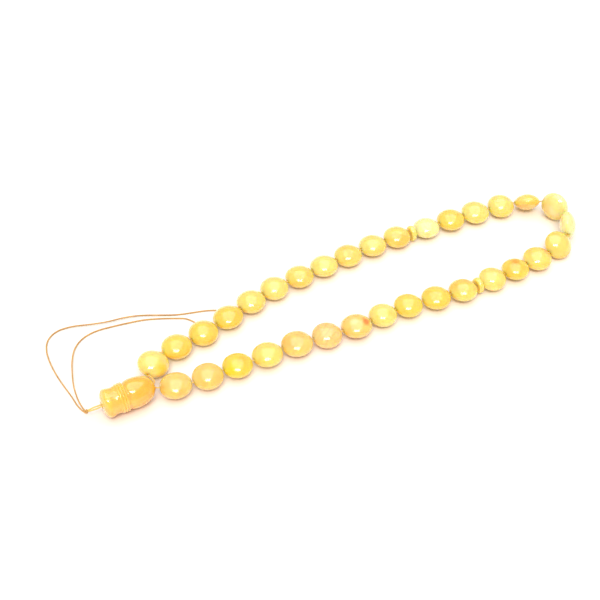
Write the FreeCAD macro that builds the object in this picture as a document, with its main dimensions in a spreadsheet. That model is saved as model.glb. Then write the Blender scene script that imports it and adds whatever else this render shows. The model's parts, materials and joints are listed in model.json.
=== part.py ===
# Misbaha: a strand of prayer beads laid out as a loop.
#
# Thirty-three flat round beads, each drilled edge to edge, sit on one cord in three
# groups of eleven with a thin marker disc between groups.  Both ends of the cord run
# through a turned leader bead, are tied in a knot and go on as two loose tails.
#
# Frame: millimetres, +Z up, the strand lies on z = 0, origin below the middle of the
# loop's box, +X from the leader bead towards the far bend.
import FreeCAD, Part
import math
import os
import Sketcher
from FreeCAD import Placement, Rotation, Vector

doc = FreeCAD.newDocument("Misbaha")

# ---------------------------------------------------------------- driving dimensions
SIZES = {
    "bead_diameter": 10.0,
    "bead_thickness": 6.4,
    "bead_rim": 1.7,            # radius of the rounded edge
    "bead_bore": 1.1,           # hole through the diameter
    "bead_mouth": 1.7,          # the hole's worn mouth
    "mouth_depth": 0.6,
    "disc_diameter": 5.6,
    "disc_thickness": 1.8,
    "disc_rim": 0.6,
    "cord_diameter": 0.5,
    "bead_gap": 0.2,            # between two beads on a leg
    "fold_gap": 0.4,            # between two beads where the loop folds
    "leader_bore": 2.0,
    "leader_length": 17.0,
    "leader_height": 4.85,      # axis of the leader bead above the surface
    "leader_tip": -88.7,        # x of its tip face
    "leader_side": -7.1,        # y of its axis
    "knot_reach": 4.7,          # from the tip face to the knot's middle
    "knot_length": 1.8,
    "knot_width": 1.5,
    "cord_spread": 0.34,        # half the distance between the two cords in the leader bead
}
sheet = doc.addObject("Spreadsheet::Sheet", "dims")
for row, (name, value) in enumerate(SIZES.items(), 1):
    sheet.set("A%d" % row, name)
    sheet.set("B%d" % row, str(value))
    sheet.setAlias("B%d" % row, name)
doc.recompute()


def dim(name):
    """One driving dimension, read from the sheet."""
    return float(sheet.get(name))


# ---------------------------------------------------------------- the beads' own data
# How much wider and thicker than the nominal size each bead came off the lathe.
WIDER = {1: 1, 3: -2, 4: 1, 5: -2, 6: -3, 7: -2, 8: -3, 9: -2, 10: -2, 11: -3, 12: -4, 13: 0,
         14: 1, 15: -3, 16: -6, 17: 4, 18: -1, 19: 1, 20: 0, 21: -5, 22: -6, 23: -2, 25: -3,
         26: -5, 27: 3, 28: -1, 29: 4, 30: 1, 31: -2, 33: 3}                  # percent
THICKER = {1: 1, 2: -1, 3: 2, 4: -2, 6: 3, 7: -3, 9: 2, 11: -2, 13: 2, 14: -2, 16: -8,
           17: 1, 18: -10, 20: 2, 21: -3, 23: 3, 24: -1, 26: 3, 28: -2, 29: 2, 31: -3, 32: 2}
BEADS = list(range(1, 34))
# One leg of the loop holds beads 2 to 17, the other holds 33 down to 18.  Headings of
# the holes, in degrees from +X, going out from the leader bead along each leg.
LEG_A = list(range(2, 18))
LEG_B = list(range(33, 17, -1))
HEAD_A = [3, 13, 16, 16, 7, 4, 3, 4, 1, -4, -4, -1, -8, -10, -30, -70]
HEAD_B = [-16, 2, -6, 2, -6, -9, -1, 2, -4, -11, -3, 0, 3, 5, 14, 54]
START_A = (-64.0, 5.1)
START_B = (-70.5, -7.8)
# Bead 1 leans against the leader bead, out of line with its leg.
FIRST_BEAD = (-68.5, 1.6)
FIRST_HEADING = 48
# Gaps wider than the nominal one, after the bead named, in order round the loop.
WIDE_GAPS = {15: 0.4, 16: 0.8, 17: 0.7, 18: 0.6, 19: 0.2, 32: 0.3}
# The loop folds at these five places: after bead A on one leg and before bead B + 1
# on the other, so the two gaps of a pair lie across the loop from each other.
FOLDS = [(3, 30), (6, 27), (9, 24), (12, 21), (14, 19)]
# Where a disc stands between two beads of the strand.
DISCS = {11: "disc_1", 22: "disc_2"}
# Roll of a bead about its own cord, in degrees, looking along the cord from bead 1.
ROLLS = {1: 16, 2: -3, 3: 2, 4: -4, 6: 3, 8: -3, 9: 2, 11: 4, 12: -3, 14: 3, 15: 14, 16: -44, 17: 84,
         18: 102, 19: -30, 20: -5, 22: -9, 23: 3, 25: -3, 27: 4, 28: -3, 30: 3, 32: -4, 33: 2}
# Height of the hole's middle above the surface, where a bead doesn't lie flat.
LIFTED = {1: 4.0, 15: 3.5, 16: 4.2, 17: 5.4, 18: 5.3, 19: 3.8}


def bead_diameter(number):
    return dim("bead_diameter") * (1 + WIDER.get(number, 0) / 100.0)


def bead_thickness(number):
    return dim("bead_thickness") * (1 + THICKER.get(number, 0) / 100.0)


def bead_height(number):
    return LIFTED.get(number, 0.52 * dim("bead_thickness"))


def gap_after(number):
    """Free space between a bead and the next one round the loop."""
    if number in [fold[0] for fold in FOLDS] or number in [fold[1] for fold in FOLDS]:
        return max(dim("fold_gap"), WIDE_GAPS.get(number, 0))
    return WIDE_GAPS.get(number, dim("bead_gap"))


def flat(heading):
    return Vector(math.cos(math.radians(heading)), math.sin(math.radians(heading)), 0)


def lay_leg(start, numbers, headings, towards):
    """Lay one leg out from the leader bead.

    Returns each bead's middle and each disc's middle, both with the heading there.
    towards is +1 where the numbers go up along the leg and -1 where they go down.
    """
    point = Vector(start[0], start[1], 0)
    beads, discs = {}, {}
    for index, number in enumerate(numbers):
        along = flat(headings[index])
        radius = bead_diameter(number) / 2
        middle = point + along * radius
        beads[number] = (Vector(middle.x, middle.y, bead_height(number)), headings[index])
        point = middle + along * radius
        if index + 1 == len(numbers):
            break
        after = number if towards > 0 else numbers[index + 1]
        turn = flat(headings[index]) + flat(headings[index + 1])
        turn.normalize()
        if after in DISCS:
            step = dim("disc_thickness") + dim("bead_gap")
            middle = point + turn * step / 2 + along * dim("bead_gap") / 2
            height = dim("disc_diameter") / 2 + 0.1
            angle = math.degrees(math.atan2(turn.y, turn.x))
            discs[DISCS[after]] = (Vector(middle.x, middle.y, height), angle)
            point = point + turn * step
        point = point + turn * gap_after(after)
    return beads, discs


beads_a, discs_a = lay_leg(START_A, LEG_A, HEAD_A, 1)
beads_b, discs_b = lay_leg(START_B, LEG_B, HEAD_B, -1)
BEAD_AT = {**beads_a, **beads_b}
BEAD_AT[1] = (Vector(FIRST_BEAD[0], FIRST_BEAD[1], bead_height(1)), FIRST_HEADING)
DISC_AT = {**discs_a, **discs_b}


def pitch_of(number):
    """Slope of a bead's hole, so that its two mouths meet its neighbours' heights."""
    here = bead_height(number)
    before = bead_height(number - 1) if number > 1 else here
    after = bead_height(number + 1) if number < 33 else here
    return math.degrees(math.asin((after - before) / 2 / bead_diameter(number)))


def travel(number):
    """Heading of a bead's hole going round the loop from bead 1 to bead 33."""
    heading = BEAD_AT[number][1]
    return heading if number <= LEG_A[-1] else heading + 180


def hole_ends(number):
    """The middles of a bead's two mouths, in order round the loop."""
    middle = BEAD_AT[number][0]
    turn = Rotation(Vector(0, 0, 1), travel(number))
    turn = turn.multiply(Rotation(Vector(0, 1, 0), -pitch_of(number)))
    along = turn.multVec(Vector(1, 0, 0)) * bead_diameter(number) / 2
    return middle - along, middle + along


def bead_placement(number):
    turn = Rotation(Vector(0, 0, 1), travel(number))
    turn = turn.multiply(Rotation(Vector(0, 1, 0), -pitch_of(number)))
    turn = turn.multiply(Rotation(Vector(1, 0, 0), ROLLS.get(number, 0)))
    return Placement(BEAD_AT[number][0], turn)


# ---------------------------------------------------------------- the cord's own route
def between(number):
    """Points where the cord turns between a bead and the next one."""
    leaving = hole_ends(number)[1]
    entering = hole_ends(number + 1)[0]
    if number in DISCS:
        return [DISC_AT[DISCS[number]][0]]
    if gap_after(number) > 0.5 or number == 1:
        return [leaving, entering]
    return [(leaving + entering) / 2]


def fold_corner(number):
    """The middle of a gap where the loop folds."""
    return (hole_ends(number)[1] + hole_ends(number + 1)[0]) / 2


AXIS_Y = dim("leader_side")
AXIS_Z = dim("leader_height")
TIP = dim("leader_tip")
END = TIP + dim("leader_length")
KNOT_AT = Vector(TIP - dim("knot_reach"), AXIS_Y, AXIS_Z)
SPREAD = dim("cord_spread")


def leader_run(side):
    """One cord from the knot through the leader bead, side +1 or -1."""
    y = AXIS_Y + side * SPREAD
    return [KNOT_AT + Vector(0.5, side * 0.28, 0),
            Vector(TIP - 2.4, y + side * 0.16, AXIS_Z),
            Vector(TIP - 0.6, y, AXIS_Z)]


# Past the leader bead one cord turns aside to bead 1 and the other dips into bead 33.
route_a = leader_run(1) + [Vector(END + 0.9, AXIS_Y + SPREAD, AXIS_Z),
                           Vector(END + 0.5, AXIS_Y + 3.5, AXIS_Z - 0.2), hole_ends(1)[0]]
route_b = leader_run(-1) + [Vector(END - 2.9, AXIS_Y - SPREAD, AXIS_Z),
                            Vector(END - 0.1, AXIS_Y - 0.4, AXIS_Z - 0.55), hole_ends(33)[1]]
folds_a = [fold[0] for fold in FOLDS]
folds_b = [fold[1] for fold in FOLDS]
cord_runs = {}
level = 1
for number in range(1, 18):
    if number in folds_a:
        corner = fold_corner(number)
        cord_runs["cord_leg_a_%d" % level] = route_a + [corner]
        route_a = [corner]
        level += 1
    else:
        route_a = route_a + between(number)
level = 1
for number in range(32, 17, -1):
    if number in folds_b:
        corner = fold_corner(number)
        cord_runs["cord_leg_b_%d" % level] = route_b + [corner]
        route_b = [corner]
        level += 1
    else:
        route_b = route_b + list(reversed(between(number)))
# The far bend is what is left of both legs, from one fold line round to the other.
cord_runs["cord_bend"] = route_a + list(reversed(route_b))
FOLD_LINES = [(cord_runs["cord_leg_a_%d" % k][-1], cord_runs["cord_leg_b_%d" % k][-1])
              for k in range(1, 6)]

# The two loose tails beyond the knot, as lists of corners.
TAIL_OUTER = [(-93.9, -7.5, 4.8), (-95.1, -4.6, 4.6), (-95.3, 0.4, 4.0), (-96.0, 6.4, 3.0),
              (-96.6, 12.8, 2.0), (-96.7, 19.0, 1.2), (-96.3, 25.0, 0.6), (-94.6, 30.0, 0.35),
              (-90.8, 32.7, 0.35), (-85.6, 32.4, 0.5), (-80.0, 30.1, 0.7), (-74.2, 28.3, 0.8),
              (-68.4, 27.7, 0.7), (-63.2, 26.2, 0.5), (-58.0, 23.6, 0.4), (-53.0, 21.0, 0.35),
              (-47.2, 19.3, 0.3), (-42.2, 17.9, 0.3), (-38.4, 15.8, 0.3)]
TAIL_INNER = [(-93.8, -6.7, 4.8), (-94.2, -3.8, 4.4), (-94.0, 1.0, 3.5), (-93.4, 6.0, 2.6),
              (-92.0, 11.6, 1.8), (-90.4, 17.0, 1.1), (-88.0, 22.2, 0.6), (-84.4, 25.5, 0.4),
              (-79.4, 26.8, 0.35), (-73.6, 26.0, 0.4), (-68.0, 25.0, 0.4), (-62.8, 23.9, 0.35),
              (-58.0, 21.9, 0.3), (-53.4, 19.6, 0.3), (-49.8, 17.6, 0.3), (-48.2, 14.0, 0.3)]


# ---------------------------------------------------------------- building helpers
def origin_plane(body, role):
    return [f for f in body.Origin.OriginFeatures if f.Role == role][0]


def new_body(label):
    body = doc.addObject("PartDesign::Body", "Body_" + label)
    body.Label = label
    return body


def new_sketch(body, plane, name):
    sketch = body.newObject("Sketcher::SketchObject", name)
    sketch.AttachmentSupport = [(origin_plane(body, plane), "")]
    sketch.MapMode = "FlatFace"
    return sketch


def chain(sketch, points):
    """A closed outline of straight edges and three-point arcs, in sketch coordinates.

    Each item is ("to", x, y), or ("arc", x_mid, y_mid, x, y) for an arc from the last
    point through the middle point.  The first edge ends at the second point.
    """
    x0, y0 = points[0][-2:]
    for item in points[1:] + [points[0]]:
        x1, y1 = item[-2:]
        if item[0] == "arc" and item is not points[0]:
            arc = Part.Arc(Vector(x0, y0, 0), Vector(item[1], item[2], 0), Vector(x1, y1, 0))
            sketch.addGeometry(arc, False)
        else:
            sketch.addGeometry(Part.LineSegment(Vector(x0, y0, 0), Vector(x1, y1, 0)), False)
        x0, y0 = x1, y1
    return sketch


def bind(sketch, name, constraint, expression):
    """Add a dimension to a sketch and bind it to the sheet."""
    index = sketch.addConstraint(constraint)
    sketch.renameConstraint(index, name)
    sketch.setExpression("Constraints." + name, expression)


# ---------------------------------------------------------------- the beads
def lens_bead(number):
    """A flat round bead: a lens turned about its short axis, drilled edge to edge."""
    label = "bead_%02d" % number
    wide = 1 + WIDER.get(number, 0) / 100.0
    thick = 1 + THICKER.get(number, 0) / 100.0
    body = new_body(label)
    radius = bead_diameter(number) / 2
    half = bead_thickness(number) / 2
    rim = dim("bead_rim")
    inside = radius - rim
    dome = (half ** 2 + inside ** 2 - rim ** 2) / (2 * half - 2 * rim)
    tilt = math.atan2(inside, dome - half)
    outline = new_sketch(body, "XZ_Plane", "Outline_" + label)
    up = math.pi / 2
    top = Part.Circle(Vector(0, half - dome, 0), Vector(0, 0, 1), dome)
    edge = Part.Circle(Vector(inside, 0, 0), Vector(0, 0, 1), rim)
    low = Part.Circle(Vector(0, dome - half, 0), Vector(0, 0, 1), dome)
    outline.addGeometry(Part.ArcOfCircle(top, up - tilt, up), False)
    outline.addGeometry(Part.ArcOfCircle(edge, tilt - up, up - tilt), False)
    outline.addGeometry(Part.ArcOfCircle(low, -up, tilt - up), False)
    outline.addGeometry(Part.LineSegment(Vector(0, -half, 0), Vector(0, half, 0)), False)
    add = outline.addConstraint
    add(Sketcher.Constraint("Tangent", 0, 1, 1, 2))
    add(Sketcher.Constraint("Tangent", 1, 1, 2, 2))
    add(Sketcher.Constraint("Coincident", 2, 1, 3, 1))
    add(Sketcher.Constraint("Coincident", 0, 2, 3, 2))
    add(Sketcher.Constraint("PointOnObject", 0, 3, -2))
    add(Sketcher.Constraint("PointOnObject", 2, 3, -2))
    add(Sketcher.Constraint("PointOnObject", 1, 3, -1))
    add(Sketcher.Constraint("Symmetric", 3, 1, 3, 2, -1, 1))
    bind(outline, "rim", Sketcher.Constraint("Radius", 1, rim), "dims.bead_rim")
    bind(outline, "thickness", Sketcher.Constraint("DistanceY", 3, 1, 3, 2, 2 * half),
         "dims.bead_thickness * %.2f" % thick)
    bind(outline, "reach", Sketcher.Constraint("DistanceX", -1, 1, 1, 3, inside),
         "dims.bead_diameter / 2 * %.2f - dims.bead_rim" % wide)
    lens = body.newObject("PartDesign::Revolution", "Lens_" + label)
    lens.Profile = outline
    lens.ReferenceAxis = (outline, ["V_Axis"])
    lens.Angle = 360
    # The hole: a straight drilling whose two mouths have worn into small funnels.
    hole = new_sketch(body, "XZ_Plane", "Hole_" + label)
    bore = dim("bead_bore") / 2
    mouth = dim("bead_mouth") / 2
    deep = radius - dim("mouth_depth")
    far = radius + 0.5
    chain(hole, [("to", -far, 0), ("to", -far, mouth), ("to", -radius, mouth), ("to", -deep, bore),
                 ("to", deep, bore), ("to", radius, mouth), ("to", far, mouth), ("to", far, 0)])
    for edge_number in range(7):
        hole.addConstraint(Sketcher.Constraint("Coincident", edge_number, 2, edge_number + 1, 1))
    hole.addConstraint(Sketcher.Constraint("Coincident", 7, 2, 0, 1))
    for edge_number in (1, 5):
        hole.addConstraint(Sketcher.Constraint("Horizontal", edge_number))
    for edge_number in (0, 6):
        hole.addConstraint(Sketcher.Constraint("Vertical", edge_number))
    hole.addConstraint(Sketcher.Constraint("PointOnObject", 7, 1, -1))
    hole.addConstraint(Sketcher.Constraint("Symmetric", 3, 1, 3, 2, -2))
    hole.addConstraint(Sketcher.Constraint("Symmetric", 1, 2, 4, 2, -2))
    hole.addConstraint(Sketcher.Constraint("Symmetric", 7, 1, 7, 2, -2))
    bind(hole, "bore", Sketcher.Constraint("DistanceY", -1, 1, 3, 1, bore), "dims.bead_bore / 2")
    bind(hole, "mouth", Sketcher.Constraint("DistanceY", -1, 1, 4, 2, mouth), "dims.bead_mouth / 2")
    bind(hole, "reach", Sketcher.Constraint("DistanceX", -1, 1, 4, 2, radius),
         "dims.bead_diameter / 2 * %.2f" % wide)
    bind(hole, "deep", Sketcher.Constraint("DistanceX", 3, 2, 4, 2, radius - deep),
         "dims.mouth_depth")
    drilled = body.newObject("PartDesign::Groove", "Bore_" + label)
    drilled.Profile = hole
    drilled.ReferenceAxis = (hole, ["H_Axis"])
    drilled.Angle = 360
    body.Placement = bead_placement(number)
    return body


def marker_disc(label):
    """A thin turned disc that the cord passes through."""
    body = new_body(label)
    outline = new_sketch(body, "XZ_Plane", "Outline_" + label)
    half = dim("disc_thickness") / 2
    radius = dim("disc_diameter") / 2
    rim = dim("disc_rim")
    bore = dim("bead_bore") / 2
    bend = rim * (1 - math.sqrt(0.5))
    chain(outline, [("to", -half + 0.1, bore), ("to", -half, bore + 0.3), ("to", -half, radius - rim),
                    ("arc", -half + bend, radius - bend, -half + rim, radius),
                    ("to", half - rim, radius),
                    ("arc", half - bend, radius - bend, half, radius - rim),
                    ("to", half, bore + 0.3), ("to", half - 0.1, bore)])
    disc = body.newObject("PartDesign::Revolution", "Disc_" + label)
    disc.Profile = outline
    disc.ReferenceAxis = (outline, ["H_Axis"])
    disc.Angle = 360
    middle, heading = DISC_AT[label]
    body.Placement = Placement(middle, Rotation(Vector(0, 0, 1), heading))
    return body


def leader_bead():
    """The turned leader bead: lip, waist, three fine rings, then a long barrel."""
    body = new_body("leader_bead")
    outline = new_sketch(body, "XZ_Plane", "Outline_leader")
    bore = dim("leader_bore") / 2
    length = dim("leader_length")
    chain(outline, [
        ("to", 0.35, bore),
        ("arc", 0.1, bore + 0.25, 0.05, bore + 0.7),
        ("arc", 0.35, 3.3, 1.1, 4.3),
        ("arc", 1.9, 4.62, 2.8, 4.5),
        ("arc", 4.1, 4.25, 5.2, 4.45),
        ("arc", 5.65, 4.72, 6.1, 4.5),
        ("arc", 6.5, 4.78, 6.9, 4.52),
        ("arc", 7.25, 4.76, 7.6, 4.45),
        ("arc", 7.9, 4.3, 8.2, 4.42),
        ("arc", 10.6, 4.83, 13.0, 4.5),
        ("arc", 15.2, 3.6, 16.4, 2.2),
        ("arc", 16.75, 1.75, 16.9, bore + 0.3),
        ("to", length - 0.35, bore),
    ])
    turned = body.newObject("PartDesign::Revolution", "Turned_leader")
    turned.Profile = outline
    turned.ReferenceAxis = (outline, ["H_Axis"])
    turned.Angle = 360
    body.Placement = Placement(Vector(TIP, AXIS_Y, AXIS_Z), Rotation())
    return body


# ---------------------------------------------------------------- the cord
SLACK = 0.13      # how far the cord's line may leave its corners inside the beads


def smooth_line(corners, slack=None):
    """Straight runs joined by tangent arcs.  Returns the wire and the arc radii."""
    points = [Vector(*corner) for corner in corners]
    cuts, radii = [], []
    for index in range(1, len(points) - 1):
        before = points[index] - points[index - 1]
        after = points[index + 1] - points[index]
        half = before.getAngle(after) / 2
        if half < math.radians(0.2):
            continue
        radius = 0.45 * min(before.Length, after.Length) / math.tan(half)
        if slack:
            room = slack if half < math.radians(15) else 2.4 * slack
            radius = min(radius, room / (1 / math.cos(half) - 1))
        back = radius * math.tan(half)
        start = points[index] - before.normalize() * back
        end = points[index] + after.normalize() * back
        inward = (start + end) / 2 - points[index]
        inward.normalize()
        middle = points[index] + inward * (radius / math.cos(half) - radius)
        cuts.append((start, middle, end))
        radii.append(radius)
    edges = []
    last = points[0]
    for start, middle, end in cuts:
        if (start - last).Length > 1e-5:
            edges.append(Part.LineSegment(last, start).toShape())
        edges.append(Part.Arc(start, middle, end).toShape())
        last = end
    edges.append(Part.LineSegment(last, points[-1]).toShape())
    return Part.Wire(edges), radii


def shorten(corners, at_start, at_end):
    """Move the ends of a route inwards, so that two lengths of cord don't touch."""
    points = [Vector(*corner) for corner in corners]
    first = points[1] - points[0]
    first.normalize()
    last = points[-2] - points[-1]
    last.normalize()
    points[0] = points[0] + first * at_start
    points[-1] = points[-1] + last * at_end
    return points


def cord_length_of(label, corners, slack=None):
    """A length of cord: a circle swept along its line."""
    wire, radii = smooth_line(corners, slack)
    path = doc.addObject("Part::Feature", "Line_" + label)
    path.Shape = wire
    ring = doc.addObject("Part::Circle", "Section_" + label)
    ring.setExpression("Radius", "dims.cord_diameter / 2")
    start = wire.OrderedVertexes[0].Point
    towards = wire.OrderedEdges[0].tangentAt(wire.OrderedEdges[0].FirstParameter)
    if (wire.OrderedEdges[0].valueAt(wire.OrderedEdges[0].FirstParameter) - start).Length > 1e-4:
        towards = towards * -1
    ring.Placement = Placement(start, Rotation(Vector(0, 0, 1), towards))
    tube = doc.addObject("Part::Sweep", "Cord_" + label)
    tube.Label = label
    tube.Sections = [ring]
    tube.Spine = (path, ["Edge%d" % (k + 1) for k in range(len(path.Shape.Edges))])
    tube.Solid = True
    tube.Frenet = True
    doc.recompute()
    ideal = math.pi * dim("cord_diameter") ** 2 / 4 * wire.Length
    print("%-13s length %6.1f  volume %.4f of %.4f  radii %s"
          % (label, wire.Length, tube.Shape.Volume, ideal, " ".join("%.1f" % r for r in radii)))
    return tube


def knot():
    """The knot that holds the cords together, as one closed solid."""
    lump = doc.addObject("Part::Ellipsoid", "Knot")
    lump.Label = "knot"
    lump.setExpression("Radius1", "dims.knot_length / 2")
    lump.setExpression("Radius2", "dims.knot_width / 2")
    lump.setExpression("Radius3", "dims.knot_width / 2")
    lump.Placement = Placement(KNOT_AT, Rotation(Vector(0, 1, 0), 90))
    return lump


# ---------------------------------------------------------------- the assembly
nodes = [lens_bead(number) for number in BEADS]
nodes += [marker_disc(label) for label in sorted(DISC_AT)]
nodes.append(leader_bead())
doc.recompute()
HALF_CUT = 0.07   # the cord is parted at each fold line by twice this
for label, corners in cord_runs.items():
    from_knot = label.endswith("_1")
    ends = 0 if from_knot else HALF_CUT
    nodes.append(cord_length_of(label, shorten(corners, ends, HALF_CUT), SLACK))
nodes.append(knot())
nodes.append(cord_length_of("tail_outer", TAIL_OUTER))
nodes.append(cord_length_of("tail_inner", TAIL_INNER))
doc.recompute()

# ---------------------------------------------------------------- checks and output
for item in doc.Objects:
    if "Invalid" in item.State or "Error" in item.State:
        raise RuntimeError("%s failed: %s" % (item.Label, item.State))
for node in nodes:
    shape = node.Shape
    if shape.isNull() or not shape.isValid():
        raise RuntimeError("%s has no valid shape" % node.Label)
    if len(shape.Solids) != 1:
        raise RuntimeError("%s is not one solid" % node.Label)
os.makedirs("parts", exist_ok=True)
for node in nodes:
    node.Shape.exportStep("parts/%s.step" % node.Label)
print("%d nodes" % len(nodes))
for number, (first, second) in enumerate(FOLD_LINES, 1):
    print("fold line %d from (%.2f, %.2f, %.2f) to (%.2f, %.2f, %.2f)" % (number, *first, *second))
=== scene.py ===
"""Looks of the misbaha: amber beads on a twisted thread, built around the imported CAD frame."""

import json
import math

import bpy
import numpy as np
from mathutils import Matrix, Quaternion, Vector, noise

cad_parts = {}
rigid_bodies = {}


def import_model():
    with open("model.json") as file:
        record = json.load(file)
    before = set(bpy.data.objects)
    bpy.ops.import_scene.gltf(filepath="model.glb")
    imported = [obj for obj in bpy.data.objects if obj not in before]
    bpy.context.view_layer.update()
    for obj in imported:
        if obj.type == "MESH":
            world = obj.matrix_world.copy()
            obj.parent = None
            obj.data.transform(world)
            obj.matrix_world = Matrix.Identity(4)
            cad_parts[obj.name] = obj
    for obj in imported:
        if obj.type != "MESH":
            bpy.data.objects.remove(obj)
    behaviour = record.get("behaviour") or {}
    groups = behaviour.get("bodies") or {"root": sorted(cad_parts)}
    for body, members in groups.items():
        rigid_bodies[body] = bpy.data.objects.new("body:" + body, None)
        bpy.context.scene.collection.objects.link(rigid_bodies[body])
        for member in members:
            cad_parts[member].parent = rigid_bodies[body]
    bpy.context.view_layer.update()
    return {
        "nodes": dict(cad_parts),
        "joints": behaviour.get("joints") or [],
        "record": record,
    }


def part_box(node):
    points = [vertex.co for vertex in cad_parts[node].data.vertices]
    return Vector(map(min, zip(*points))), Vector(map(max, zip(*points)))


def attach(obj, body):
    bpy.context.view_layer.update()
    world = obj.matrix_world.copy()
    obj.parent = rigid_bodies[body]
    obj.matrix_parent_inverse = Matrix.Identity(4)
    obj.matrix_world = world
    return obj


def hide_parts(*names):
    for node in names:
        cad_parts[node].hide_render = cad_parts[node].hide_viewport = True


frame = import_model()

MM = 0.001
BEADS = range(1, 34)
JOINTS = {joint["name"]: joint for joint in frame["joints"]}


# ---------------------------------------------------------------- camera
LOOK_AT = Vector((-13.0, 8.0, 0.0)) * MM
CAMERA_DISTANCE = 0.339
CAMERA_LENS_MM = 60.1
CAMERA_SENSOR_MM = 36.0
CAMERA_HEIGHT_DEG = 46      # above the horizon
CAMERA_HEADING_DEG = 62     # the way it looks, from +X towards +Y


def direction(heading_deg, height_deg):
    """The unit vector at a heading from +X and a height above the horizon."""
    heading, height = math.radians(heading_deg), math.radians(height_deg)
    level = math.cos(height)
    return Vector((level * math.cos(heading), level * math.sin(heading), math.sin(height)))


def make_camera():
    """The camera of the photograph, with LOOK_AT in the middle of its picture."""
    lens = bpy.data.cameras.new("camera")
    lens.lens = CAMERA_LENS_MM
    lens.sensor_width = CAMERA_SENSOR_MM
    lens.clip_start = 0.01
    camera = bpy.data.objects.new("camera", lens)
    back = direction(CAMERA_HEADING_DEG + 180, CAMERA_HEIGHT_DEG)
    camera.location = LOOK_AT + back * CAMERA_DISTANCE
    camera.rotation_mode = "QUATERNION"
    camera.rotation_quaternion = (-back).to_track_quat("-Z", "Y")
    bpy.context.scene.collection.objects.link(camera)
    bpy.context.scene.camera = camera


make_camera()


# ---------------------------------------------------------------- mesh helpers
def piece(name, vertices, faces, material, place=None):
    """A smooth mesh object. place carries the vertices to where they belong in the world."""
    mesh = bpy.data.meshes.new(name)
    mesh.from_pydata([tuple(v) for v in vertices], [], faces)
    if place is not None:
        mesh.transform(place)
    mesh.validate()
    mesh.polygons.foreach_set("use_smooth", [True] * len(mesh.polygons))
    mesh.materials.append(material)
    made = bpy.data.objects.new(name, mesh)
    bpy.context.scene.collection.objects.link(made)
    return made


def ring_faces(ring_count, ring_size, closed):
    """Quads between successive rings of points. closed joins the last ring to the first."""
    faces = []
    for i in range(ring_count if closed else ring_count - 1):
        here, there = i * ring_size, (i + 1) % ring_count * ring_size
        for j in range(ring_size):
            k = (j + 1) % ring_size
            faces.append((here + j, here + k, there + k, there + j))
    return faces


def uneven(at):
    """Smooth noise from 0 to 1 at a point, for surfaces that are a little worn."""
    return 0.5 + 0.5 * noise.noise(at)


# ---------------------------------------------------------------- thread
THREAD_RADIUS = 0.25 * MM
PLIES = 3
PLY_PITCH = 1.7 * MM        # length of one full twist of the plies
PLY_CREASE = 0.24           # depth of the crease between plies, as a share of the radius
PLY_FULLNESS = 0.7          # below 1 the plies are fuller and the creases narrower
THREAD_STEP = 0.14 * MM     # between rings of points along the thread
THREAD_SIDES = 15
# A thread's round end: distance from the last ring and width, as shares of the radius.
THREAD_END = [(-1.0, 0.0), (-0.92, 0.39), (-0.7, 0.71), (-0.38, 0.92)]


def spline_points(corners):
    """Points along the smooth NURBS line that has these corners as its control points."""
    curve = bpy.data.curves.new("route", "CURVE")
    curve.dimensions = "3D"
    spline = curve.splines.new("NURBS")
    spline.points.add(len(corners) - 1)
    for point, corner in zip(spline.points, corners):
        point.co = (*corner, 1.0)
    spline.order_u = 3
    spline.use_endpoint_u = True
    spline.resolution_u = 24
    holder = bpy.data.objects.new("route", curve)
    mesh = bpy.data.meshes.new_from_object(holder)
    line = np.array([v.co for v in mesh.vertices], float)
    bpy.data.meshes.remove(mesh)
    bpy.data.objects.remove(holder)
    bpy.data.curves.remove(curve)
    return line


def evenly(line, step):
    """The line again, with points about step apart."""
    lengths = np.linalg.norm(np.diff(line, axis=0), axis=1)
    along = np.concatenate([[0.0], np.cumsum(lengths)])
    at = np.linspace(0.0, along[-1], max(3, int(math.ceil(along[-1] / step)) + 1))
    return np.stack([np.interp(at, along, line[:, k]) for k in range(3)], axis=1)


def carried_frames(line):
    """Two unit vectors across the line at each point, carried along it without twist."""
    tangents = np.gradient(line, axis=0)
    tangents /= np.linalg.norm(tangents, axis=1)[:, None]
    side = Vector(tangents[0]).orthogonal().normalized()
    sides, ups = [], []
    before = Vector(tangents[0])
    for tangent in tangents:
        now = Vector(tangent)
        side = before.rotation_difference(now) @ side
        side = (side - now * side.dot(now)).normalized()
        sides.append(side)
        ups.append(now.cross(side))
        before = now
    return tangents, np.array(sides), np.array(ups)


def thread_piece(name, line, material, radius=THREAD_RADIUS):
    """A twisted thread of three plies along a line, as one closed mesh with round ends."""
    line = evenly(line, THREAD_STEP)
    tangents, sides, ups = carried_frames(line)
    around = np.arange(THREAD_SIDES) / THREAD_SIDES * 2 * math.pi
    rings = []
    last = len(line) - 1
    for index, point in enumerate(line):
        turn = 2 * math.pi * index * THREAD_STEP / PLY_PITCH
        lobes = np.abs(np.cos((around - turn) * PLIES / 2)) ** PLY_FULLNESS
        reach = radius * (1 - PLY_CREASE * (1 - lobes))
        across = (np.cos(around) * reach)[:, None] * sides[index]
        across = across + (np.sin(around) * reach)[:, None] * ups[index]
        if index == 0:
            for back, share in THREAD_END:
                rings.append(point + tangents[0] * back * radius + across * share)
        rings.append(point + across)
        if index == last:
            for back, share in reversed(THREAD_END):
                rings.append(point - tangents[-1] * back * radius + across * share)
    made = piece(name, np.concatenate(rings), ring_faces(len(rings), THREAD_SIDES, False), material)
    return made, line


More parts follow.
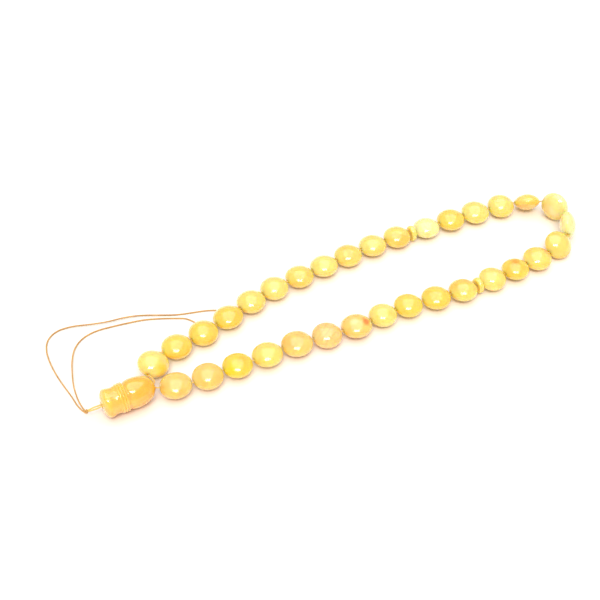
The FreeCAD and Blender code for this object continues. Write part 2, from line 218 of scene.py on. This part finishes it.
# ---------------------------------------------------------------- node helpers
class Nodes:
    """Short ways to add and join the nodes of one material."""

    def __init__(self, name):
        self.material = bpy.data.materials.new(name)
        self.material.use_nodes = True
        self.tree = self.material.node_tree
        self.shader = self.tree.nodes["Principled BSDF"]

    def add(self, kind, inputs=None, **settings):
        """A new node with these settings. inputs gives a value or a socket for each input."""
        node = self.tree.nodes.new(kind)
        for key, value in settings.items():
            setattr(node, key, value)
        for key, value in (inputs or {}).items():
            self.feed(node, key, value)
        return node

    def feed(self, node, key, value):
        """Set a socket to a value, or link it where the value is another node's socket."""
        if isinstance(value, bpy.types.NodeSocket):
            self.tree.links.new(value, node.inputs[key])
        else:
            node.inputs[key].default_value = value

    def surface(self, inputs):
        """Set or link these inputs of the material's own shader, and return the material."""
        for key, value in inputs.items():
            self.feed(self.shader, key, value)
        return self.material

    def math(self, operation, *values):
        """One step of arithmetic on values or sockets."""
        return self.add("ShaderNodeMath", dict(enumerate(values)), operation=operation).outputs[0]

    def noise(self, vector, scale, detail=2.0, roughness=0.5, distortion=0.0):
        """Smooth noise with about scale waves per metre."""
        inputs = {"Vector": vector, "Scale": scale, "Detail": detail,
                  "Roughness": roughness, "Distortion": distortion}
        return self.add("ShaderNodeTexNoise", inputs).outputs["Fac"]

    def spread(self, value, low, high, to_low=0.0, to_high=1.0):
        """Smoothly turns low..high into to_low..to_high."""
        inputs = {"Value": value, "From Min": low, "From Max": high,
                  "To Min": to_low, "To Max": to_high}
        node = self.add("ShaderNodeMapRange", inputs, interpolation_type="SMOOTHSTEP")
        return node.outputs["Result"]

    def mix(self, factor, first, second):
        """Two colours mixed: sockets 6, 7 and output 2 are those the node keeps for colours."""
        return self.add("ShaderNodeMix", {0: factor, 6: first, 7: second}, data_type="RGBA").outputs[2]

    def bump(self, height, distance, strength, normal=None):
        """A normal tilted by small relief, on top of another normal where one is given."""
        inputs = {"Height": height, "Distance": distance, "Strength": strength}
        if normal is not None:
            inputs["Normal"] = normal
        return self.add("ShaderNodeBump", inputs).outputs["Normal"]


def linear(red, green, blue):
    """A colour given as it shows on a screen, 0 to 255, as Blender's linear colour."""
    def one(value):
        share = value / 255
        return share / 12.92 if share <= 0.04045 else ((share + 0.055) / 1.055) ** 2.4
    return (one(red), one(green), one(blue), 1.0)


# ---------------------------------------------------------------- thread material
def thread_material(name, dark, pale, fibre):
    """Waxed thread: fine fibres along the plies, with lighter worn and darker waxed parts."""
    nodes = Nodes(name)
    where = nodes.add("ShaderNodeTexCoord").outputs["Object"]
    patches = nodes.noise(where, scale=260.0, detail=3.0)
    fibres = nodes.noise(where, scale=5200.0, detail=4.0, roughness=0.7)
    colour = nodes.mix(nodes.spread(patches, 0.3, 0.7), linear(*dark), linear(*pale))
    colour = nodes.mix(nodes.spread(fibres, 0.35, 0.75, to_high=0.45), colour, linear(*fibre))
    return nodes.surface({
        "Base Color": colour,
        "Roughness": nodes.spread(fibres, 0.2, 0.8, 0.42, 0.68),
        "Normal": nodes.bump(fibres, distance=0.03 * MM, strength=0.6),
        "Sheen Weight": 0.25, "Sheen Roughness": 0.4,
        "Subsurface Weight": 0.3, "Subsurface Radius": (1.0, 0.6, 0.3),
        "Subsurface Scale": 0.2 * MM})


THREAD = thread_material("thread", (178, 124, 50), (208, 158, 86), (226, 190, 132))
# The same thread in the gaps between the beads, painted paler to stand in for the light that comes
# through the amber onto it.
GAP_THREAD_PAINTED_LIT = thread_material("gap_thread_painted_lit", (226, 184, 84), (236, 204, 116), (240, 216, 150))


# ---------------------------------------------------------------- the two loose tails
def route(*corners):
    """Corners given in metres, as vectors."""
    return [Vector(corner) for corner in corners]


TAIL_OUTER = route(
    (-0.0939, -0.0075, 0.0048), (-0.0951, -0.0046, 0.0046), (-0.0953, 0.0004, 0.0040),
    (-0.0960, 0.0064, 0.0030), (-0.0966, 0.0128, 0.0020), (-0.0967, 0.0190, 0.0012),
    (-0.0963, 0.0250, 0.0006), (-0.0946, 0.0300, 0.00035), (-0.0908, 0.0327, 0.00035),
    (-0.0856, 0.0324, 0.0005), (-0.0800, 0.0301, 0.0007), (-0.0742, 0.0283, 0.0008),
    (-0.0684, 0.0277, 0.0007), (-0.0632, 0.0262, 0.0005), (-0.0580, 0.0236, 0.0004),
    (-0.0530, 0.0210, 0.00035), (-0.0472, 0.0193, 0.0003), (-0.0422, 0.0179, 0.0003),
    (-0.0384, 0.0158, 0.0003))
TAIL_INNER = route(
    (-0.0938, -0.0067, 0.0048), (-0.0942, -0.0038, 0.0044), (-0.0940, 0.0010, 0.0035),
    (-0.0934, 0.0060, 0.0026), (-0.0920, 0.0116, 0.0018), (-0.0904, 0.0170, 0.0011),
    (-0.0880, 0.0222, 0.0006), (-0.0844, 0.0255, 0.0004), (-0.0794, 0.0268, 0.00035),
    (-0.0736, 0.0260, 0.0004), (-0.0680, 0.0250, 0.0004), (-0.0628, 0.0239, 0.00035),
    (-0.0580, 0.0219, 0.0003), (-0.0534, 0.0196, 0.0003), (-0.0498, 0.0176, 0.0003),
    (-0.0482, 0.0140, 0.0003))

knot_low, knot_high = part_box("knot")
KNOT_AT = (knot_low + knot_high) / 2


def knot_piece():
    """The overhand knot pulled tight: a trefoil, twice round its middle and three times through."""
    wide, thick, wound, steps = 0.36 * MM, 0.20 * MM, 0.21 * MM, 160
    line = []
    for step in range(steps + 1):
        t = 2 * math.pi * step / steps
        out = wide + thick * math.cos(3 * t)
        line.append((thick * 1.15 * math.sin(3 * t), out * math.cos(2 * t), out * math.sin(2 * t)))
    line = np.array(line) + np.array(KNOT_AT)
    made, _ = thread_piece("knot_of_cord", line, THREAD, wound)
    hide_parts("knot")
    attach(made, "strand")
    return made


def tail_piece(name, node, corners):
    """One loose end of the cord, from the knot to its cut end on the table."""
    made, line = thread_piece(name, spline_points(corners), THREAD)
    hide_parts(node)
    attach(made, "strand")


the_knot = knot_piece()
tail_piece("tail_outer_thread", "tail_outer", TAIL_OUTER)
tail_piece("tail_inner_thread", "tail_inner", TAIL_INNER)


# ---------------------------------------------------------------- where the beads are
def node_points(node):
    """The points of a CAD node's mesh."""
    return np.array([v.co for v in frame["nodes"][node].data.vertices], float)


class Seat:
    """Where a bead or disc sits: its middle, its hole's axis, its flat face's normal and its size."""

    def __init__(self, node, joint):
        self.node = node
        self.body = JOINTS[joint]["child"]
        self.parent = JOINTS[joint]["parent"]
        self.middle = Vector(JOINTS[joint]["pos_m"])
        self.axis = Vector(JOINTS[joint]["axis"]).normalized()
        self.points = node_points(node) - np.array(self.middle)
        self.half_length = self.reach(self.axis)
        self.normal = self.thinnest_way()
        self.across = self.normal.cross(self.axis)
        self.half_thickness = self.reach(self.normal)
        self.radius = self.reach(self.across)

    def reach(self, way):
        """Half the node's extent along a direction."""
        along = self.points @ np.array(way)
        return (along.max() - along.min()) / 2

    def thinnest_way(self):
        """The direction across the hole in which the node is thinnest."""
        side = self.axis.orthogonal().normalized()
        best = 0.0
        # A coarse search and then a fine one: degrees to each side, and between trials.
        for window, step in ((90.0, 1.0), (1.5, 0.05)):
            trials = np.arange(best - window, best + window, step)
            ways = [Quaternion(self.axis, math.radians(a)) @ side for a in trials]
            best = trials[int(np.argmin([self.reach(way) for way in ways]))]
        way = Quaternion(self.axis, math.radians(best)) @ side
        return way if way.z >= 0 else -way

    def place(self):
        """The matrix of a frame with X along the hole and Z out of the flat face."""
        turn = Matrix((self.axis, self.across, self.normal)).transposed()
        return Matrix.Translation(self.middle) @ turn.to_4x4()

    def mouths(self):
        """The middles of the two mouths of the hole, in order round the loop."""
        half = self.axis * self.half_length
        return self.middle - half, self.middle + half


SEATS = {n: Seat("bead_%02d" % n, "spin_%02d" % n) for n in BEADS}
DISC_SEATS = [Seat("disc_1", "spin_disc_1"), Seat("disc_2", "spin_disc_2")]


# ---------------------------------------------------------------- amber materials
# Texture scales of the amber's markings. The larger the scale, the finer the marking.
CLOUD_SCALE, WISP_SCALE, SPECK_SCALE, LINE_SCALE = 130.0, 480.0, 2600.0, 170.0
AMBER_IOR = 1.54


class Tone:
    """One amber: the colours of its top, painted paler as lit, of its lower half, painted deeper as
    shade, and of its markings, and how strong the markings are.
    """

    def __init__(self, top, low, deep, clouds, lines=0.0):
        self.top, self.low, self.deep = linear(*top), linear(*low), linear(*deep)
        self.clouds, self.lines = clouds, lines


def growth_lines(nodes, where, seed, tone, colour):
    """The colour crossed by wavy lines of the deep colour, at a slant that seed sets."""
    turn = (0.5 * seed, 0.3 * seed, 0.0)
    turned = nodes.add("ShaderNodeMapping", {"Vector": where, "Rotation": turn}).outputs[0]
    waves = nodes.add("ShaderNodeTexWave", {
        "Vector": turned, "Scale": LINE_SCALE, "Distortion": 4.0, "Detail": 2.0, "Detail Scale": 1.2})
    share = nodes.math("MULTIPLY", nodes.spread(waves.outputs["Fac"], 0.55, 0.95), tone.lines)
    return nodes.mix(share, colour, tone.deep)


def amber(name, seed, tone, spots, place):
    """Polished milky amber with soft clouds, growth lines and inclusions, painted paler at the top as
    light and deeper below as shade.
    """
    nodes = Nodes(name)
    height = place.translation.z
    where = nodes.add("ShaderNodeTexCoord").outputs["Object"]
    offset = (seed * 0.37, seed * 0.61, seed * 0.13)
    moved = nodes.add("ShaderNodeMapping", {"Vector": where, "Location": offset}).outputs[0]
    clouds = nodes.noise(moved, CLOUD_SCALE, distortion=0.7)
    wisps = nodes.noise(moved, WISP_SCALE, detail=4.0, roughness=0.6, distortion=0.6)
    specks = nodes.noise(moved, SPECK_SCALE)
    up = nodes.add("ShaderNodeSeparateXYZ", {0: where}).outputs["Z"]
    # Painted light and shade: the low tone under the middle height of the piece, the paler top tone
    # above it, as if lit from above.
    level = nodes.math("MULTIPLY_ADD", clouds, 3.0 * MM, up)
    colour = nodes.mix(nodes.spread(level, height * 0.6, height * 1.45), tone.low, tone.top)
    cloud_share = nodes.math("MULTIPLY", nodes.spread(clouds, 0.56, 0.3), tone.clouds)
    colour = nodes.mix(cloud_share, colour, tone.deep)
    wisp_share = nodes.math("MULTIPLY", nodes.spread(wisps, 0.5, 0.78), tone.clouds)
    colour = nodes.mix(wisp_share, colour, tone.top)
    if tone.lines:
        colour = growth_lines(nodes, moved, seed, tone, colour)
    for at, size, shade, strength in spots:
        middle = tuple(place @ (Vector(at) * MM))
        gap = nodes.add("ShaderNodeVectorMath", {0: where, 1: middle}, operation="DISTANCE")
        ragged = nodes.math("MULTIPLY_ADD", wisps, size * 0.8 * MM, gap.outputs["Value"])
        share = nodes.spread(ragged, size * MM * 0.6, size * MM * 1.5, strength, 0.0)
        colour = nodes.mix(share, colour, linear(*shade))
    colour = nodes.mix(nodes.spread(specks, 0.6, 0.8, to_high=0.08), colour, tone.top)
    ripple = nodes.bump(clouds, distance=0.04 * MM, strength=0.3)
    return nodes.surface({
        "Base Color": colour,
        "Roughness": nodes.spread(wisps, 0.2, 0.8, 0.08, 0.16),
        "Normal": nodes.bump(specks, distance=0.003 * MM, strength=0.4, normal=ripple),
        "IOR": AMBER_IOR,
        "Subsurface Weight": 0.85, "Subsurface Radius": (1.0, 0.52, 0.14),
        "Subsurface Scale": 7.0 * MM,
        "Coat Weight": 0.9, "Coat IOR": AMBER_IOR, "Coat Roughness": 0.05})


# Colours are the amber's own, set darker as the bright light makes them look paler; each top colour is
# a painted lit colour and each low colour a painted shaded one.
IVORY = Tone((250, 228, 160), (254, 210, 96), (242, 186, 70), 0.4)
LEMON = Tone((250, 214, 122), (254, 203, 70), (244, 178, 50), 0.45)
BUTTER = Tone((250, 208, 108), (254, 197, 68), (242, 168, 46), 0.45)
YELLOW = Tone((248, 202, 86), (252, 200, 34), (240, 174, 22), 0.4)
HONEY = Tone((248, 202, 72), (250, 190, 42), (236, 160, 28), 0.45)
PEACH = Tone((250, 199, 112), (252, 181, 74), (238, 156, 56), 0.35, lines=0.05)
ROSE = Tone((250, 198, 126), (252, 178, 88), (234, 146, 66), 0.35, lines=0.16)
LEADER_TONE = Tone((248, 190, 80), (250, 158, 4), (236, 138, 2), 0.35)
BEADS_OF_TONE = [
    (IVORY, (12, 17, 18)),
    (LEMON, (1, 6, 8, 10, 14, 15, 22, 26)),
    (BUTTER, (5, 7, 9, 11, 16, 19, 20, 23, 30)),
    (YELLOW, (2, 3, 4, 13, 21, 24, 25)),
    (HONEY, (31,)),
    (PEACH, (27, 29, 32, 33)),
    (ROSE, (28,)),
]
TONE_OF = {"bead_%02d" % n: tone for tone, numbers in BEADS_OF_TONE for n in numbers}
TONE_OF.update({"disc_1": LEMON, "disc_2": LEMON, "leader_bead": LEADER_TONE})
# Inclusions: where in the piece's own frame in mm, size in mm, colour and strength.
SPOTS = {
    "bead_01": [((-1.6, -2.7, 1.0), 2.6, (250, 200, 10), 0.85)],
    "bead_20": [((-3.2, 0.4, 2.1), 2.2, (230, 126, 34), 0.85)],
    "bead_21": [((0.0, -0.6, 3.0), 2.4, (232, 140, 30), 0.7)],
    "bead_27": [((-2.6, 1.8, 2.1), 2.0, (216, 112, 30), 0.85),
                ((1.0, 0.5, 3.0), 1.8, (246, 226, 172), 0.6)],
    "bead_31": [((2.5, 2.5, 1.2), 2.8, (250, 204, 0), 0.9)],
    "leader_bead": [((14.0, -1.0, -1.0), 7.0, (252, 166, 0), 0.9),
                    ((0.5, 0.0, 2.0), 5.0, (248, 206, 112), 0.7)],
}


def amber_for(node, seed, place):
    """The amber of one piece, with its own markings by its seed, and set at its place."""
    return amber("amber_" + node, seed, TONE_OF[node], SPOTS.get(node, []), place)


# ---------------------------------------------------------------- the beads
# The curve of the face and of the rim. Only their ratio counts, as each bead is scaled to its size.
DOME_RADIUS, RIM_RADIUS = 6.08, 1.7
RIM_TILT_DEG = 48.9         # the tilt of the surface where the face gives way to the rim
RIM_BLEND_DEG = 22          # the stretch of tilt over which it does
MOUTH_RADIUS = 0.72 * MM
LIP_RADIUS = MOUTH_RADIUS * 1.14    # where the outside ends and the worn lip begins
BORE_RADIUS = 0.55 * MM
MOUTH_DEPTH = 0.6 * MM
AROUND, ALONG = 76, 50      # quads round the hole, and from one mouth to the other
WEAR, WEAR_SCALE = 0.012, 260       # depth as a share of the size, and about how many waves per metre


def lens_outline(radius, half):
    """How far the surface of a lens is from its middle, by angle above the rim's plane."""
    tilt = np.linspace(0, math.pi / 2, 600)
    joint = math.radians(RIM_TILT_DEG)
    share = np.clip((tilt - joint) / math.radians(RIM_BLEND_DEG) + 0.5, 0, 1)
    share = share * share * (3 - 2 * share)
    bend = DOME_RADIUS * (1 - share) + RIM_RADIUS * share
    step = tilt[1] - tilt[0]
    out = np.cumsum(bend * np.cos(tilt)) * step
    down = np.cumsum(bend * np.sin(tilt)) * step
    out = out / out[-1] * radius
    height = (1 - down / down[-1]) * half
    return np.arctan2(height, out)[::-1], np.hypot(height, out)[::-1]


class Lens:
    """The outside of one bead in its own frame: X along the hole, Z out of the flat face."""

    def __init__(self, seat):
        self.angles, self.distances = lens_outline(seat.radius, seat.half_thickness)

    def surface(self, polar, theta):
        """The points at these angles from the hole's axis and round it."""
        x, y, z = np.cos(polar), np.sin(polar) * np.cos(theta), np.sin(polar) * np.sin(theta)
        away = np.interp(np.arctan2(np.abs(z), np.hypot(x, y)), self.angles, self.distances)
        return np.stack([x, y, z], axis=-1) * away[..., None]

    def polar_at(self, across, theta):
        """The angle from the hole's axis at which the surface is that far from it."""
        polar = np.full_like(theta, 0.17)       # a first guess, which a dozen rounds correct
        for _ in range(12):
            away = np.linalg.norm(self.surface(polar, theta), axis=-1)
            polar = np.arcsin(np.minimum(across / away, 1.0))
        return polar


def outside_rings(lens, theta, number):
    """Rings of points over the outside, from the +X mouth to the -X mouth, a little worn."""
    start = lens.polar_at(LIP_RADIUS, theta)
    shift = Vector((number * 3.7, 0, 0))
    rings = []
    for step in range(ALONG + 1):
        share = 0.5 - 0.5 * math.cos(math.pi * step / ALONG)
        share = 0.45 * share + 0.55 * step / ALONG      # the rings are closer near the mouths
        ring = lens.surface(start + share * (math.pi - 2 * start), theta)
        worn = 1 - WEAR * np.array([uneven(Vector(p) * WEAR_SCALE + shift) for p in ring])
        rings.append(ring * worn[:, None])
    return rings


def hole_rings(lens, theta, end_x):
    """Rings from the -X mouth, in past its worn lip, through the hole to the +X mouth."""
    lip_x = lens.surface(lens.polar_at(MOUTH_RADIUS, theta), theta)[:, 0] * 0.994
    throat = [(lip_x - 0.03 * MM, MOUTH_RADIUS), (lip_x - 0.13 * MM, MOUTH_RADIUS * 0.88),
              (end_x - 0.8 * MOUTH_DEPTH, BORE_RADIUS * 1.1),
              (end_x - 1.3 * MOUTH_DEPTH, BORE_RADIUS),
              (end_x * 0.55, BORE_RADIUS), (end_x * 0.2, BORE_RADIUS)]

    def ring(x, across):
        x = np.broadcast_to(x, theta.shape)
        return np.stack([x, across * np.cos(theta), across * np.sin(theta)], axis=-1)

    return ([ring(-x, across) for x, across in throat]
            + [ring(x, across) for x, across in reversed(throat)])


def lens_bead(number):
    """A drilled lens: rings of quads from mouth to mouth, then back through the hole."""
    seat = SEATS[number]
    lens = Lens(seat)
    even = np.arange(AROUND) / AROUND * 2 * math.pi
    theta = even - 0.22 * np.sin(2 * even)      # closer together at the rim, which bends most
    rings = outside_rings(lens, theta, number) + hole_rings(lens, theta, seat.half_length)
    faces = ring_faces(len(rings), AROUND, True)
    made = piece("amber_bead_%02d" % number, np.concatenate(rings), faces,
                 amber_for(seat.node, number, seat.place()), seat.place())
    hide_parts(seat.node)
    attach(made, seat.body)


for number in BEADS:
    lens_bead(number)


# ---------------------------------------------------------------- turned pieces
def smooth_outline(points, steps):
    """A smooth line through given points, as (x, radius) with this many steps between them."""
    data = np.array(points, float)
    data = np.vstack([2 * data[0] - data[1], data, 2 * data[-1] - data[-2]])
    line = []
    for i in range(1, len(data) - 2):
        a, b, c, d = data[i - 1:i + 3]
        for step in range(steps):
            t = step / steps
            line.append(0.5 * (2 * b + (c - a) * t + (2 * a - 5 * b + 4 * c - d) * t * t
                               + (3 * b - a - 3 * c + d) * t ** 3))
    line.append(data[-2])
    return line


def turned_piece(name, outline, bore, place, material, segments, wobble):
    """A closed turned shape: the outline revolved about X, then back through the bore."""
    x_first, x_last = outline[0][0], outline[-1][0]
    inside = [(x_last + (x_first - x_last) * k / 6, bore) for k in range(1, 6)]
    rings = []
    theta = np.arange(segments) / segments * 2 * math.pi
    for x, across in list(outline) + inside:
        grow = 1.0
        if across > bore * 1.2:
            grow = 1 - wobble * np.array([
                uneven(Vector((x * 200, math.cos(a) * 1.3, math.sin(a) * 1.3))) for a in theta])
        ring = np.stack([np.full(segments, x), across * grow * np.cos(theta),
                         across * grow * np.sin(theta)], axis=-1)
        rings.append(ring)
    faces = ring_faces(len(rings), segments, True)
    return piece(name, np.concatenate(rings), faces, material, place)


DISC_RIM = 0.6 * MM         # how far in from the edge the rounding reaches
DISC_SEED, LEADER_SEED = 40, 50     # past the beads' numbers, which are their seeds


def disc_piece(seat, seed):
    """A thin marker disc with a rounded edge and a hole for the cord."""
    half, radius = seat.half_length, seat.radius
    outline = [(-half + 0.12 * MM, BORE_RADIUS), (-half + 0.02 * MM, BORE_RADIUS + 0.16 * MM),
               (-half, BORE_RADIUS + 0.5 * MM), (-half, radius - DISC_RIM * 1.2)]
    for step in range(1, 12):
        angle = math.pi * step / 12
        bulge = DISC_RIM * math.sin(angle) ** 0.8
        outline.append((-math.cos(angle) * half, radius - DISC_RIM + bulge))
    outline += [(-x, across) for x, across in reversed(outline[:4])]
    made = turned_piece("amber_" + seat.node, outline, BORE_RADIUS, seat.place(),
                        amber_for(seat.node, seed, seat.place()), segments=64, wobble=WEAR)
    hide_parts(seat.node)
    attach(made, seat.body)


for index, seat in enumerate(DISC_SEATS):
    disc_piece(seat, DISC_SEED + index)

leader_low, leader_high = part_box("leader_bead")
LEADER_TIP, LEADER_END = leader_low.x, leader_high.x
LEADER_Y = (leader_low.y + leader_high.y) / 2
LEADER_Z = (leader_low.z + leader_high.z) / 2
LEADER_BORE_RADIUS = 1.0 * MM
# The leader bead's turned outline, as distance from the tip and radius, in millimetres.
LEADER_OUTLINE = [
    (0.50, 1.00), (0.28, 1.06), (0.12, 1.25), (0.05, 1.70), (0.10, 2.30), (0.28, 3.00),
    (0.62, 3.70), (1.08, 4.28), (1.50, 4.55), (1.95, 4.62), (2.40, 4.59), (2.90, 4.46),
    (3.50, 4.31), (4.10, 4.25), (4.65, 4.30), (5.10, 4.43), (5.22, 4.46), (5.32, 4.58),
    (5.62, 4.71), (5.92, 4.62), (6.06, 4.46), (6.20, 4.60), (6.48, 4.77), (6.78, 4.66),
    (6.90, 4.50), (7.02, 4.62), (7.26, 4.75), (7.50, 4.62), (7.62, 4.42), (7.90, 4.31),
    (8.18, 4.40), (8.60, 4.58), (9.50, 4.77), (10.6, 4.83), (11.8, 4.73), (13.0, 4.50),
    (14.1, 4.13), (15.2, 3.58), (15.9, 2.95), (16.4, 2.24), (16.72, 1.76), (16.88, 1.40),
    (16.80, 1.14), (16.60, 1.00)]


def leader_piece():
    """The leader bead, turned with a lip, a waist, three fine rings and a barrel."""
    outline = [(x * MM, across * MM) for x, across in smooth_outline(LEADER_OUTLINE, 4)]
    place = Matrix.Translation((LEADER_TIP, LEADER_Y, LEADER_Z))
    made = turned_piece("amber_leader", outline, LEADER_BORE_RADIUS, place,
                        amber_for("leader_bead", LEADER_SEED, place), segments=112, wobble=0.008)
    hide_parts("leader_bead")
    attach(made, "leader_bead")


leader_piece()


# ---------------------------------------------------------------- the cord inside the loop
SPREAD = 0.34 * MM          # half the distance between the two cords in the leader bead
LAST_BEAD_OF_LEG_A = 17     # the CAD cord's leg a ends at the far bend after this bead


def leader_line(side):
    """Corners of one cord from the knot through the leader bead, side +1 or -1."""
    y = LEADER_Y + side * SPREAD
    return [KNOT_AT + Vector((0.3 * MM, side * 0.2 * MM, 0)),
            Vector((LEADER_TIP - 2.4 * MM, y + side * 0.16 * MM, LEADER_Z)),
            Vector((LEADER_TIP - 0.4 * MM, y, LEADER_Z)),
            Vector((LEADER_TIP + 2.0 * MM, y, LEADER_Z)),
            Vector((LEADER_END - 3.0 * MM, y, LEADER_Z))]


def gap_middle(number):
    """The middle of the gap between a bead and the next one."""
    return (SEATS[number].mouths()[1] + SEATS[number + 1].mouths()[0]) / 2


def bead_runs(body):
    """The numbers of the beads on a body, as runs of neighbours."""
    runs = []
    for number in BEADS:
        if SEATS[number].parent == body:
            if runs and runs[-1][-1] == number - 1:
                runs[-1].append(number)
            else:
                runs.append([number])
    return runs


def cord_piece(body, run, nodes, index):
    """The cord through one run of beads, from one fold or knot to the next fold or knot."""
    corners = []
    if run[0] == BEADS[0]:
        corners += leader_line(1)
        corners += [Vector((LEADER_END - 0.4 * MM, LEADER_Y + SPREAD, LEADER_Z)),
                    Vector((LEADER_END + 0.9 * MM, LEADER_Y + 1.0 * MM, LEADER_Z - 0.1 * MM)),
                    Vector((LEADER_END + 0.6 * MM, LEADER_Y + 3.4 * MM, LEADER_Z - 0.2 * MM))]
    else:
        corners.append(gap_middle(run[0] - 1))
    for number in run:
        corners += SEATS[number].mouths()
    if run[-1] == BEADS[-1]:
        corners += [Vector((LEADER_END - 0.2 * MM, LEADER_Y - SPREAD, LEADER_Z - 0.5 * MM)),
                    Vector((LEADER_END - 1.4 * MM, LEADER_Y - SPREAD, LEADER_Z))]
        corners += list(reversed(leader_line(-1)))
    else:
        corners.append(gap_middle(run[-1]))
    made, _ = thread_piece("cord_%s_%d" % (body, index), spline_points(corners), GAP_THREAD_PAINTED_LIT)
    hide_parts(*nodes)
    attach(made, body)


def cord_nodes_of(body, leg):
    """The CAD cord nodes of a body on leg a or b; the far bend has one node for both."""
    members = frame["record"]["behaviour"]["bodies"][body]
    return [m for m in members if m == "cord_bend" or m.startswith("cord_leg_" + leg)]


for body in ["strand"] + ["loop_section_%d" % k for k in range(1, 6)]:
    for index, run in enumerate(bead_runs(body), 1):
        leg = "a" if run[0] <= LAST_BEAD_OF_LEG_A else "b"
        cord_piece(body, run, cord_nodes_of(body, leg), index)


# ---------------------------------------------------------------- floor and light
FLOOR_REACH = 6.0           # metres from the middle to each side
FLOOR_COLOURS = (0.87, 0.87, 0.865, 1), (0.89, 0.89, 0.885, 1)
SKY_COLOUR = (1.0, 0.94, 0.85, 1.0)
SKY_STRENGTH = 0.62


def make_floor():
    """A pale matt floor that reaches far past the strand."""
    side = FLOOR_REACH
    corners = [(-side, -side, 0), (side, -side, 0), (side, side, 0), (-side, side, 0)]
    nodes = Nodes("floor")
    where = nodes.add("ShaderNodeTexCoord").outputs["Object"]
    grain = nodes.noise(where, scale=40.0, detail=3.0)
    material = nodes.surface({"Base Color": nodes.mix(grain, *FLOOR_COLOURS),
                              "Roughness": 0.9, "Specular IOR Level": 0.1})
    floor = piece("floor", corners, [(0, 1, 2, 3)], material)


def soft_box(name, heading_deg, height_deg, distance, wide, tall, power, colour):
    """An area light that faces the middle of the picture, with its sizes in metres."""
    lamp = bpy.data.lights.new(name, "AREA")
    lamp.shape = "RECTANGLE"
    lamp.size, lamp.size_y, lamp.energy, lamp.color = wide, tall, power, colour
    holder = bpy.data.objects.new(name, lamp)
    way = direction(heading_deg, height_deg)
    holder.location = LOOK_AT + way * distance
    holder.rotation_mode = "QUATERNION"
    holder.rotation_quaternion = way.to_track_quat("Z", "Y")
    bpy.context.scene.collection.objects.link(holder)


def make_light():
    """An even warm sky, a key light from behind the camera and a wide light from above."""
    world = bpy.data.worlds.new("studio")
    bpy.context.scene.world = world
    world.use_nodes = True
    background = world.node_tree.nodes["Background"]
    background.inputs["Color"].default_value = SKY_COLOUR
    background.inputs["Strength"].default_value = SKY_STRENGTH
    soft_box("key", CAMERA_HEADING_DEG + 180, height_deg=60, distance=2.2,
             wide=1.3, tall=0.56, power=28.0, colour=(1.0, 0.93, 0.78))
    soft_box("top", CAMERA_HEADING_DEG, height_deg=80, distance=3.0,
             wide=3.6, tall=3.6, power=56.0, colour=(0.93, 1.0, 1.12))


make_floor()
make_light()
bpy.context.scene.view_settings.view_transform = "Standard"
